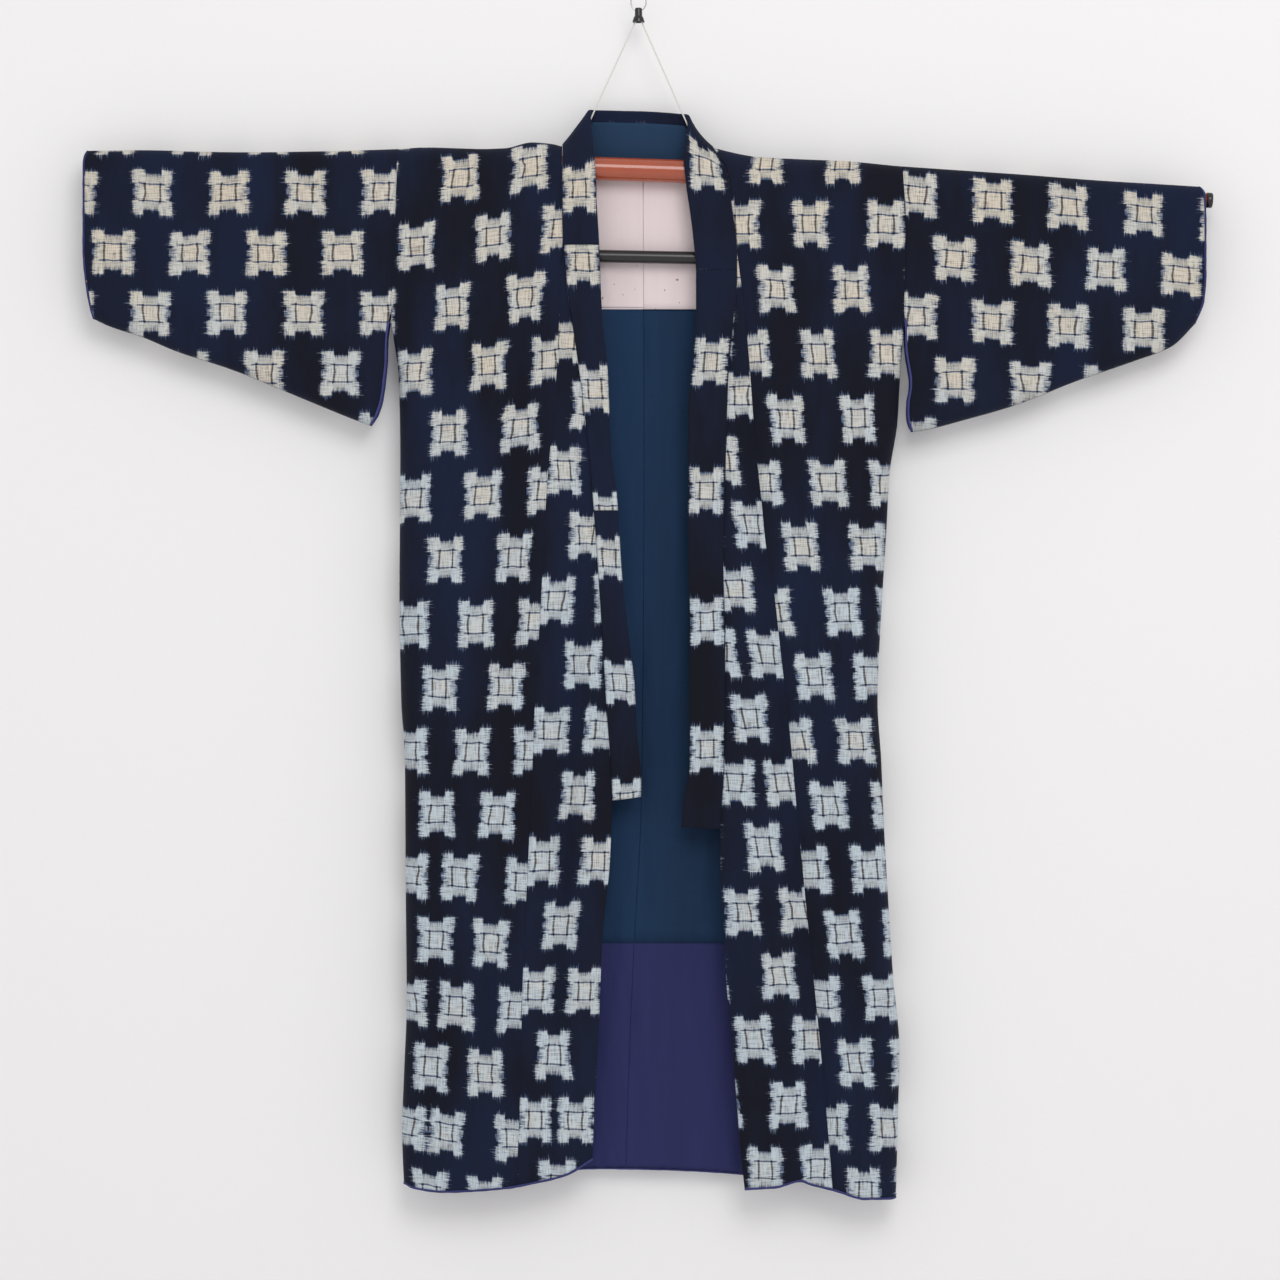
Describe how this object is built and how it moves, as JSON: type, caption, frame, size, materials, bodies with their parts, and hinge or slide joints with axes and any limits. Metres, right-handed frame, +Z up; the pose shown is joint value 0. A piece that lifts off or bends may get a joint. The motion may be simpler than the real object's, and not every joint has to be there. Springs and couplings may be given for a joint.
{
  "type": "hanten on a kimono hanger",
  "caption": "Long lined cotton hanten with wide sleeves, a band collar and woven kasuri motifs, hung open on a telescopic kimono hanger.",
  "frame": {"origin": "top inside of the hanger's ring, where it hangs", "axes": "+Z up, -Y out of the garment's front, +X towards the wearer's left sleeve"},
  "size_m": [1.241, 0.0438, 1.3246],
  "materials": {
    "indigo_kasuri": "plain-weave indigo cotton with off-white kasuri motifs, matt",
    "pink_lining": "thin cotton, matt",
    "teal_lining": "thin cotton, matt",
    "violet_lining": "thin cotton, slight sheen",
    "orange_brown_tube": "glossy",
    "red_brown_rod": "glossy",
    "black_trim": "glossy",
    "white_cord": "twisted cord, matt",
    "steel_ring": "bright wire"
  },
  "bodies": {
    "root": {"body_right": "indigo_kasuri", "body_left": "indigo_kasuri", "okumi_right": "indigo_kasuri", "okumi_left": "indigo_kasuri", "sleeve_right": "indigo_kasuri", "sleeve_left": "indigo_kasuri", "band_neck": "indigo_kasuri", "band_right_upper": "indigo_kasuri", "band_right_lower": "indigo_kasuri", "band_left": "indigo_kasuri", "neck_lining": "teal_lining", "yoke_lining_right": "pink_lining", "yoke_lining_left": "pink_lining", "back_lining_right": "teal_lining", "back_lining_left": "teal_lining", "hem_lining_right": "violet_lining", "hem_lining_left": "violet_lining", "pole_tube": "orange_brown_tube", "rod_right": "red_brown_rod", "rod_left": "red_brown_rod", "cap_right": "black_trim", "cap_left": "black_trim", "lower_bar": "black_trim", "cord": "white_cord", "knot_right": "white_cord", "knot_left": "white_cord", "ferrule": "black_trim", "ring": "steel_ring"}
  },
  "joints": []
}
